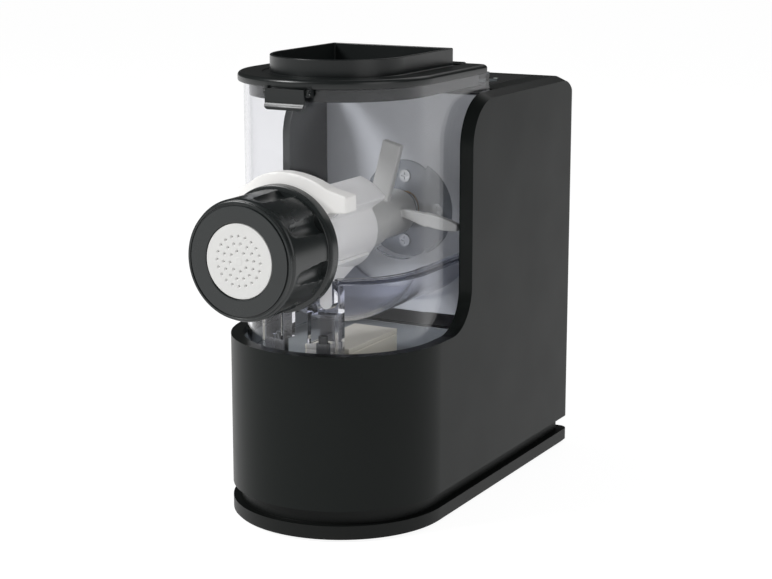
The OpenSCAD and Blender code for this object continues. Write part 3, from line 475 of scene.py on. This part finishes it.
def see_through(name, colour, rough, haze):
    """Clear resin; light passes straight through it where it would only cast a shadow"""
    resin_ior = 1.27           # low, so that what lies behind a wall keeps its place
    wave_scale, wave_depth = 45.0, 0.0006
    smoke, smoke_density = (0.68, 0.7, 0.77, 1), 34.0
    material = bpy.data.materials.new(name)
    material.use_nodes = True
    material.node_tree.nodes.clear()
    place = add(material, "ShaderNodeTexCoord").outputs["Object"]
    flow = add(material, "ShaderNodeTexNoise", None,
               {"Vector": place, "Scale": wave_scale, "Detail": 2.0})
    waves = add(material, "ShaderNodeBump", None,
                {"Height": flow.outputs[0], "Strength": 0.06, "Distance": wave_depth})
    resin = add(material, "ShaderNodeBsdfPrincipled", None, {
        "Base Color": tint(colour), "Roughness": rough, "IOR": resin_ior,
        "Transmission Weight": 1 - haze, "Normal": waves.outputs[0]})
    passing = add(material, "ShaderNodeBsdfTransparent", None, {"Color": (0.98, 0.982, 0.99, 1)})
    rays = add(material, "ShaderNodeLightPath").outputs
    shadows = add(material, "ShaderNodeMixShader", None,
                  {"Fac": rays["Is Shadow Ray"], 1: resin.outputs[0], 2: passing.outputs[0]})
    soft = add(material, "ShaderNodeMixShader", None,
               {"Fac": rays["Is Diffuse Ray"], 1: shadows.outputs[0], 2: passing.outputs[0]})
    depth = add(material, "ShaderNodeVolumeAbsorption", None,
                {"Color": smoke, "Density": smoke_density})
    add(material, "ShaderNodeOutputMaterial", None,
        {"Surface": soft.outputs[0], "Volume": depth.outputs[0]})
    return material


clear = see_through("copolyester clear smoky, polished", "f8f8f9", 0.015, 0.0)
hazy = see_through("copolyester clear, hazy trough", "eceef8", 0.1, 0.06)
skirt = see_through("copolyester clear, skirt with moulding haze", "f2f3f6", 0.03, 0.12)
WALL_HALF, WALL_BACK = 57.5, 150.5         # outside of the bowl
ROOM_HALF, ROOM_BACK = 55, 148             # inside of the bowl
HINGE_Y, HINGE_Z = 147, 266.7


def on_axis(name, r, y0, y1, sides=96):
    """Round bar along the axis of the press"""
    return bar(name, at(0, y0, AXIS_Z), at(0, y1, AXIS_Z), r, sides)


def trough(r, grow=0.0):
    """Half-round trough with a ball-shaped front end"""
    start, way = at(0, ROUND_Y, AXIS_Z), (0, (ROOM_BACK + grow - ROUND_Y) / 1000, 0)
    bpy.ops.object.select_all(action="DESELECT")
    bpy.ops.mesh.primitive_uv_sphere_add(segments=128, ring_count=64, radius=r / 1000,
                                         location=start, rotation=(math.pi / 2, 0, 0))
    piece = settle("trough")
    bpy.ops.object.mode_set(mode="EDIT")
    bpy.ops.mesh.select_all(action="SELECT")
    bpy.ops.mesh.bisect(plane_co=start, plane_no=(0, 1, 0), clear_outer=True, use_fill=True)
    bpy.ops.mesh.extrude_region_move(TRANSFORM_OT_translate={"value": way})
    return close_up(piece)


def sector(name, ro, ri, a0, a1, y0, y1):
    """Part of a ring around the axis of the press"""
    steps = 32
    turns = [math.radians(a0 + (a1 - a0) * i / steps) for i in range(steps + 1)]
    line = [at(ro * math.cos(t), y0, AXIS_Z + ro * math.sin(t)) for t in turns]
    line += [at(ri * math.cos(t), y0, AXIS_Z + ri * math.sin(t)) for t in reversed(turns)]
    return plate(name, line, Vector((0, (y1 - y0) / 1000, 0)))


bowl = d_block("bowl_clear", WALL_HALF, WALL_BACK, 100.5, 264.2, 0, 160)
cut(bowl, d_block("inside", ROOM_HALF, ROOM_BACK, 90, 270, 0, 160))
ledge = trough(55.5, 1)
join(ledge, box("shelf", -58, 58, -1, 151, 151.5, 154))
socket_line = ((8.1, 116.7), (22.8, 116.7), (22.8, 101), (25.1, 101), (25.1, 153), (8.1, 153))
for side in (-1, 1):
    join(ledge, plate("socket", [at(side * x, 4, z) for x, z in socket_line],
                      Vector((0, 0.022, 0))))
shared(ledge, d_block("inside wall", 55.6, 149, 100.8, 154.5, 0, 160))
leg_x, leg_z, leg_r, leg_top = 17.4, 140.9, 4.4, 172
leg_line = [(21.8, leg_top), (13, leg_top)]
leg_line += [(leg_x + leg_r * math.cos(t), leg_z + leg_r * math.sin(t))
             for t in (math.radians(a) for a in range(180, 361, 15))]
for side in (-1, 1):
    rooms = (box("peg room", side * 16.6 - 6.7, side * 16.6 + 6.7, 4, 24.2, 112, 134),
             plate("leg room", [at(side * x, 4, z) for x, z in leg_line],
                   Vector((0, 0.0202, 0))))
    for room in rooms:
        cut(ledge, shared(room, d_block("room wall", 54.6, 148, 100, 180, 0, 160)))
cut(ledge, trough(53, 6))
join(bowl, ledge)
for side in (-1, 1):
    for x in (18, 36):
        low, high = sorted((side * x, side * (x + 6)))
        join(bowl, box("ear", low, high, 144.5, 150.3, 256, HINGE_Z),
             cross_bar("ear end", low, high, HINGE_Y, HINGE_Z, 3.1, 48))
    cut(bowl, cross_bar("pin hole", side * 15, side * 45, HINGE_Y, HINGE_Z, 1.53, 32),
        side_box("knuckle room", side, 24, 36, 141, 152, 262.5, 275))
join(bowl, box("catch", -9, 9, 8.9, 11.2, 254, 255.5),
     sector("guard", 31.5, 30, -122, -34, 141, 149))
cut(bowl, on_axis("tube hole", 21.9, -5, 47.5), sector("hood slot", 34, 17.5, 36, 75, -5, 47.5),
    on_axis("shaft hole", 10.5, 143, 152))
soften(bowl, 0.35, 2, 40, 28)
finish(bowl, clear, "base", "bowl_clear", "bowl")
bowl.data.materials.append(hazy)
bowl.data.materials.append(skirt)
TROUGH_NEAR, TROUGH_FAR, TROUGH_TOP, SKIRT_TOP = 0.0526, 0.0558, 0.1535, 0.125    # metres
for face in bowl.data.polygons:
    middle = face.center - at(0, max(ROUND_Y, face.center.y * 1000 + FRAME_Y), AXIS_Z)
    face.material_index = int(TROUGH_NEAR < middle.length < TROUGH_FAR
                              and face.center.z < TROUGH_TOP)
    if not face.material_index and face.center.z < SKIRT_TOP and abs(face.normal.z) < 0.5:
        face.material_index = 2

# ---- bearing plate and screws in the bulkhead, seal in the bowl -----------------------------
# Satin stainless disc that closes the front of the gearbox, held by four pan head screws; a
# black rubber seal in the back of the bowl runs on the shaft.

plate_steel = metal("stainless steel satin, bearing plate", "8d9194", 0.38, 0.4, 0.05, 0.6)
bright_steel = metal("stainless steel polished screws", "d9dbd9", 0.25, 0.5, 0.02, 0.5)
seal_rubber = moulded("NBR rubber dark grey, moulded seal", "3a3e3f", 0.5)
dress("bearing_plate", plate_steel, 0.3)
dress("plate_screws", bright_steel, 0.15)
dress("shaft_seal", seal_rubber, 0.25)

# ---- lid ------------------------------------------------------------------------------------
# Black ABS, moulded: a flange over the bowl's rim, a skirt inside it, the filling collar with a
# slotted floor, hinge knuckles at the back and two lugs for the clip in front.

lid_abs = moulded("ABS semi-gloss black, moulded lid", "1a1d1d", 0.3, 0.4, 0.015, specular=0.4)
CLIP_Y, CLIP_Z = 6.2, 262.2                # pin of the clip
EDGE_R = 2.2                               # rounding of the flange
flange_edge = [(61 - EDGE_R * (1 - math.cos(t)), 143 - EDGE_R * (1 - math.cos(t)), 4,
                267.5 + EDGE_R * math.sin(t))
               for t in (math.radians(a) for a in (0, 18, 36, 54, 72, 90))]
# Half width, back, corner radius and height, from the inside of the skirt out and up
skirt_ribs = [(44, 134, 1, 262), (44, 134, 1, 266.5), (52.6, 140.6, 2, 266.5),
              (52.6, 140.6, 2, 256.9), (52.9, 140.9, 2.2, 256.6), (53.9, 141.9, 2.8, 256.6),
              (54.2, 142.2, 3, 256.9), (54.2, 142.2, 3, 266.5), (59, 142.45, 3, 266.5),
              (59, 142.45, 3, 264.6), (59.3, 142.5, 3.2, 264.3), (60.2, 142.7, 3.6, 264.3),
              (60.75, 142.85, 3.8, 264.6), (61, 143, 4, 265.2)]
collar_ribs = [(47, 136, 2, 269.7), (46.6, 135.8, 2, 269.5), (46.3, 135.6, 2, 268.9),
               (42.4, 132.3, 1.2, 268.9), (42, 132, 1.2, 269.3), (42, 132, 1.2, 279),
               (41.8, 131.8, 1.1, 279.35), (41.5, 131.5, 1, 279.5), (40.7, 130.7, 0.9, 279.5),
               (40.35, 130.35, 0.8, 279.35), (40.2, 130.2, 0.8, 279.05),
               (40.2, 130.2, 0.8, 264.3)]
lid = ribs("lid_cover", [d_line(half, back, z, corner, 128)
                         for half, back, corner, z in skirt_ribs + flange_edge + collar_ribs])
for i in range(7):
    reach = 22 if i == 0 else 29
    cut(lid, box("feed slot", -reach, reach, 52.3 + i * 10, 55.7 + i * 10, 260, 266))
for side in (-1, 1):
    join(lid, cross_bar("knuckle", side * 24.3, side * 35.7, HINGE_Y, HINGE_Z, 3.1, 48),
         side_box("knuckle web", side, 24.3, 35.7, 140, 147, 265, 268.4))
    cut(lid, cross_bar("pin bore", side * 20, side * 40, HINGE_Y, HINGE_Z, 1.55, 32))
    join(lid, side_box("lug", side, 13.1, 14.7, 6.2, 10.4, 260.1, 265.5),
         cross_bar("lug end", side * 13.1, side * 14.7, CLIP_Y, CLIP_Z, 2.1, 48))
    cut(lid, cross_bar("lug bore", side * 10, side * 17, CLIP_Y, CLIP_Z, 1, 24))
soften(lid, 0.25, 2, 40, 35)
finish(lid, lid_abs, "lid", "lid_black", "lid")

# ---- lid clip -------------------------------------------------------------------------------
# Black ABS catch, moulded like the lid, that turns on a steel pin between the lid's lugs. Its
# lower lip flares out for the fingers, and both lower corners are rounded.

CLIP_HALF, CORNER_R, CORNER_X, CORNER_Z = 12.8, 3, 9.8, 255.8
front = [(2.6, 264.6), (2.6, 257.2), (2.45, 256.3), (2.0, 255.5), (1.5, 254.8), (1.3, 254.0),
         (1.3, 252.8)]
back = [(3.2, 252.8), (3.25, 253.7), (3.5, 254.3), (4.0, 255.0), (4.3, 255.9), (4.4, 256.8),
        (4.4, 264.6)]
clip = plate("lid_catch", [at(-CLIP_HALF, y, z) for y, z in front + back],
             Vector((0.0256, 0, 0)))
join(clip, box("web", -CLIP_HALF, CLIP_HALF, 4, 6.2, 260.8, 263.6),
     cross_bar("barrel", -CLIP_HALF, CLIP_HALF, CLIP_Y, CLIP_Z, 1.7, 48))
cut(clip, cross_bar("bore", -20, 20, CLIP_Y, CLIP_Z, 1.05, 32))
for side in (-1, 1):
    corner = side_box("corner", side, CORNER_X, 14, 0, 4.2, 250, CORNER_Z)
    cut(corner, bar("round", at(side * CORNER_X, -1, CORNER_Z), at(side * CORNER_X, 6, CORNER_Z),
                    CORNER_R, 64))
    cut(clip, corner)
soften(clip, 0.45, 3, 30, 35)
finish(clip, lid_abs, "clip", "clip_black", "lid_clip")

# ---- press tube -----------------------------------------------------------------------------
# White gloss ABS, moulded in one: tube with hood, disc and two finger wings that hug the bowl,
# and the threaded collar in front that the cap nut screws on to. Its corners are soft.

tube_abs = moulded("ABS gloss white, moulded tube", "f6f5f3", 0.3, 0.6, 0.01, 0.03)


def remesh(piece):
    """Blends joined shapes into one skin with soft corners"""
    voxel_mm, rounds, push = 0.65, 4, 0.5
    bpy.ops.object.select_all(action="DESELECT")
    bpy.context.view_layer.objects.active = piece
    piece.select_set(True)
    grid = piece.modifiers.new("skin", "REMESH")
    grid.mode, grid.voxel_size = "VOXEL", voxel_mm / 1000
    bpy.ops.object.modifier_apply(modifier=grid.name)
    ease = piece.modifiers.new("ease", "SMOOTH")
    ease.factor, ease.iterations = push, rounds
    bpy.ops.object.modifier_apply(modifier=ease.name)
    bpy.ops.object.shade_smooth()
    return piece


WING_TOP_R = 43.2                          # upper edge of the wings, round the press's axis
HOOD_R, DISC_R, TUBE_R, TUBE_BORE_R = 33.5, 34, 21.5, 18.2
wing_line = [(36.1, 20.8), (36.1, 30.4), (31, 32.4), (26, 34.4)]
wing_line += [(WING_TOP_R * math.sin(math.radians(a)), WING_TOP_R * math.cos(math.radians(a)))
              for a in range(28, -1, -2)]
wing_line += [(-x, z) for x, z in reversed(wing_line[:-1])]
wings = plate("tube_white_moulding", [at(x, -1, AXIS_Z + z) for x, z in wing_line],
              Vector((0, 0.025, 0)))
shared(wings, bar("front", at(0, 84.5, AXIS_Z), at(0, 84.5, AXIS_Z + 60), 84, 256))
cut(wings, bar("bowl side", at(0, ROUND_Y, AXIS_Z - 1), at(0, ROUND_Y, AXIS_Z + 61), 58.2, 256))
join(wings, on_axis("disc", DISC_R, 0.2, 4, 160), on_axis("collar", 25.5, -40, -2, 128),
     on_axis("tube", TUBE_R, -30, 74, 128), on_axis("neck", 22.7, -2.5, 9.5, 128),
     sector("hood", HOOD_R, 19.5, 37, 74, 24, 73.8))
cut(wings, sector("hood inside", 31.2, 16.2, 42, 69, 30, 76))
remesh(wings)
cut(wings, on_axis("bore", TUBE_BORE_R, -41, 86, 128))
bpy.ops.object.select_all(action="DESELECT")
wings.select_set(True)
bpy.ops.object.shade_smooth_by_angle(angle=math.radians(50))
finish(wings, tube_abs, "base", "tube_white", "press_tube")
dress("tube_socket", tube_abs, 0.6, 3)

# ---- paddle and press screw -----------------------------------------------------------------
# White ABS paddle on the drive shaft: a hub with two flat arms and one swept blade that stir the
# trough. The press screw in front of it pushes the dough forward through the tube.

paddle_abs = moulded("ABS white, moulded paddle", "cbcbc8", 0.34, 0.6, 0.01)
dress("press_screw", paddle_abs, 0)
ARM_THICK, ARM_WIDE = 5, 13
paddle = on_axis("paddle_moulding", 16.5, 73, 100)
join(paddle, on_axis("hub", 14.5, 99, 138), on_axis("hub end", 13, 137, 142.8))
for angle, y, reach in ((75.3, 110, 49.5), (197, 127, 50)):
    arm = box("arm", 0, reach, y - ARM_THICK / 2, y + ARM_THICK / 2,
              AXIS_Z - ARM_WIDE / 2, AXIS_Z + ARM_WIDE / 2)
    turn = Matrix.Translation(at(0, y, AXIS_Z)) @ Matrix.Rotation(math.radians(-angle), 4, "Y") \
        @ Matrix.Translation(-at(0, y, AXIS_Z))
    arm.data.transform(turn)
    join(paddle, arm)
blade_top = [(0, 5.0), (12, 5.2), (17.3, 5.4), (25, 4.6), (32.4, 3.6), (38, 2.6), (42, 1.6),
             (47, 0.2), (50.9, -1.4)]
blade_under = [(50.9, -5.6), (45, -6.0), (38, -5.6), (32, -4.6), (26, -3.0), (20, -1.0),
               (14, 1.0), (0, -4.0)]
join(paddle, plate("blade", [at(x, 117.5, AXIS_Z + z) for x, z in blade_top + blade_under],
                   Vector((0, 0.005, 0))))
cut(paddle, on_axis("square end", 7, 70, 84, 48), on_axis("shaft end", 5, 83.9, 120, 48),
    on_axis("shaft", 8, 118, 150, 48))
remesh(paddle)
finish(paddle, paddle_abs, "drive", "paddle_white", "paddle")

# ---- die and gasket -------------------------------------------------------------------------
# White acetal disc, moulded, a little domed, with three rings of small round holes that flare
# to soft dimples at the face. A silicone gasket behind it seals it against the tube.


def turned(name, profile, sides=160):
    """Spins a profile of radius and place along the axis of the press"""
    piece = draw(name, [at(r, y, AXIS_Z) for r, y in profile], closed=False)
    bpy.ops.mesh.spin(steps=sides, angle=2 * math.pi, center=at(0, 0, AXIS_Z), axis=(0, 1, 0))
    return close_up(piece)


# The acetal is a dull, even white with soft highlights.
die_pom = moulded("acetal white, moulded die", "d4d4d2", 0.38, relief=0.02)
gasket = moulded("silicone clear, moulded gasket", "c8ccd0", 0.4)
die = turned("die_disc", [
    (0, -41.2), (25.3, -41.2), (25.3, -44), (21.3, -44), (21.3, -46.3), (21.0, -46.7),
    (20.3, -46.85), (14, -46.95), (7, -47.0), (2.7, -47.0), (2.2, -47.08), (2.0, -47.2),
    (0, -47.2)])
drill_line = [(0, -48), (1.35, -48), (1.1, -47.0), (0.9, -46.7), (0.55, -46.5), (0.35, -46.3),
              (0.35, -40), (0, -40)]
drills = []
for ring_r, count, phase in ((5.7, 8, 10), (9.9, 14, 5), (14, 20, 0)):
    for i in range(count):
        turn = math.radians(phase + i * 360 / count)
        x, z = ring_r * math.cos(turn), AXIS_Z + ring_r * math.sin(turn)
        drill = turned("drill", drill_line, 20)
        drill.data.transform(Matrix.Translation(Vector((x, 0, z - AXIS_Z)) / 1000))
        drills.append(drill)
cut(die, together(drills))
soften(die, 0, smooth=40)
finish(die, die_pom, "die_set", "die_white", "die")
dress("die_gasket", gasket, 0.2)

# ---- cap nut --------------------------------------------------------------------------------
# Black ABS, moulded, with eight scooped grips that run out at a flange; two fine grooves run
# round its front edge. It turns on the thread of the tube and holds the die.

nut_abs = moulded("ABS semi-gloss black, moulded nut", "1f2323", 0.28, relief=0.02)
NUT_R = 34.6
front_edge = [
    (21.6, -44), (21.6, -46.7), (21.9, -47.1), (22.4, -47.2), (30.7, -47.2), (31.0, -47.1),
    (31.2, -46.8), (31.3, -46.2), (31.8, -46.2), (31.9, -46.7), (32.2, -46.95), (32.9, -46.9),
    (33.4, -46.6), (33.6, -46.1), (33.6, -45.6), (33.3, -45.35), (33.3, -44.85), (33.7, -44.6),
    (34.2, -44.2), (34.5, -43.7)]
side = [(NUT_R, y) for y in [-43.2 + i * 0.8 for i in range(44)]]
flange = [
    (34.6, -8.6), (34.3, -8.4), (34.3, -7.9), (34.6, -7.6), (36.2, -7.3), (36.6, -7.0),
    (36.8, -6.4), (36.8, -1.2), (36.6, -0.7), (36.2, -0.5), (26, -0.5), (25.8, -0.7),
    (25.8, -44), (21.6, -44)]
nut = turned("cap_nut_moulding", front_edge + side + flange, 360)
SCOOP_R, SCOOP_FRONT, SCOOP_BACK, SCOOP_RISE = 7, -41.6, -8.5, -41.2
SCOOP_PHASE, SCOOP_PITCH = 31.3, 45        # degrees
SCOOP_DEEP, SCOOP_TAPER = 3.7, 2.4
for corner in nut.data.vertices:
    x, z = corner.co.x * 1000, corner.co.z * 1000 - AXIS_Z
    y, r = corner.co.y * 1000 + FRAME_Y, math.hypot(x, z)
    if r > 33.4 and SCOOP_FRONT < y < SCOOP_BACK:
        turn = math.radians((math.degrees(math.atan2(z, x)) - SCOOP_PHASE + SCOOP_PITCH / 2)
                            % SCOOP_PITCH - SCOOP_PITCH / 2)
        deep = SCOOP_DEEP - SCOOP_TAPER * (SCOOP_BACK - y) / 31.5
        deep *= min(1.0, math.sqrt(max(0.0, (y - SCOOP_RISE) / 4)))
        middle = NUT_R + SCOOP_R - deep
        inside = SCOOP_R ** 2 - (middle * math.sin(turn)) ** 2
        floor_r = middle * math.cos(turn) - math.sqrt(inside) if inside > 0 else r
        scale = min(r, floor_r) / r
        corner.co.x, corner.co.z = x * scale / 1000, (z * scale + AXIS_Z) / 1000
soften(nut, 0)
finish(nut, nut_abs, "nut", "nut_black", "cap_nut")

# ---- studio ---------------------------------------------------------------------------------
# A plain white floor, an even white surround and three large soft lamps. Floor and surround are
# a plain white where they are seen straight, in a reflection or through the bowl.

floor_paint = bpy.data.materials.new("paint white, floor")
floor_paint.use_nodes = True
floor_paint.node_tree.nodes.clear()
seen = add(floor_paint, "ShaderNodeLightPath").outputs
shade = add(floor_paint, "ShaderNodeBsdfDiffuse", None, {"Color": (0.92, 0.92, 0.92, 1)})
plain = add(floor_paint, "ShaderNodeEmission", None, {"Color": (1, 1, 1, 1), "Strength": 1.15})
lit = add(floor_paint, "ShaderNodeMixShader", None,
          {"Fac": 0.8, 1: shade.outputs[0], 2: plain.outputs[0]})
near = add(floor_paint, "ShaderNodeMath", {"operation": "MAXIMUM"},
           {0: seen["Is Camera Ray"], 1: seen["Is Glossy Ray"]})
through = add(floor_paint, "ShaderNodeMath", {"operation": "MAXIMUM"},
              {0: near.outputs[0], 1: seen["Is Transmission Ray"]})
bare = add(floor_paint, "ShaderNodeMixShader", None,
           {"Fac": through.outputs[0], 1: shade.outputs[0], 2: lit.outputs[0]})
add(floor_paint, "ShaderNodeOutputMaterial", None, {"Surface": bare.outputs[0]})
bpy.ops.object.select_all(action="DESELECT")
bpy.ops.mesh.primitive_plane_add(size=30, location=(0, 0, 0))
floor = bpy.context.object
floor.name = "studio_floor"
floor.data.materials.append(floor_paint)

world = bpy.data.worlds.new("studio surround")
bpy.context.scene.world = world
world.use_nodes = True
world.node_tree.nodes.clear()
path = add(world, "ShaderNodeLightPath").outputs
dim = add(world, "ShaderNodeMapRange", None,
          {"Value": path["Is Glossy Ray"], "To Min": 0.36, "To Max": 0.05})
front_level = add(world, "ShaderNodeMath", {"operation": "MAXIMUM"},
                  {0: path["Is Camera Ray"], 1: path["Is Transmission Ray"]})
level = add(world, "ShaderNodeMath", {"operation": "MAXIMUM"},
            {0: dim.outputs[0], 1: front_level.outputs[0]})
sky = add(world, "ShaderNodeBackground", None,
          {"Color": (1, 1, 1, 1), "Strength": level.outputs[0]})
add(world, "ShaderNodeOutputWorld", None, {"Surface": sky.outputs[0]})


def lamp(name, place, aim, wide, high, power):
    """Soft lamp of that size in metres and power in watts"""
    data = bpy.data.lights.new(name, "AREA")
    data.shape, data.size, data.size_y, data.energy = "RECTANGLE", wide, high, power
    light = bpy.data.objects.new(name, data)
    light.location = place
    light.rotation_euler = (Vector(aim) - Vector(place)).to_track_quat("-Z", "Y").to_euler()
    bpy.context.scene.collection.objects.link(light)


lamp("key", (-1.05, -1.25, 1.35), (0, 0, 0.17), 0.6, 0.6, 29)
lamp("fill", (1.7, -0.6, 0.9), (0, 0, 0.15), 1.2, 1.4, 8.5)
lamp("back", (0.2, 1.3, 1.4), (0, 0, 0.2), 1.6, 0.8, 4)

# ---- camera ---------------------------------------------------------------------------------
# A long lens in front of the left corner, a little above the machine.

lens = bpy.data.cameras.new("camera")
lens.lens, lens.sensor_width = 88.0, 36
camera = bpy.data.objects.new("camera", lens)
camera.location = (0.5522, -1.0093, 0.3791)
heading, tilt = math.radians(28.32), math.radians(-12.24)
look = Vector((-math.sin(heading) * math.cos(tilt), math.cos(heading) * math.cos(tilt),
               math.sin(tilt)))
camera.rotation_euler = look.to_track_quat("-Z", "Y").to_euler()
bpy.context.scene.collection.objects.link(camera)
bpy.context.scene.camera = camera
bpy.context.scene.view_settings.view_transform = "Standard"
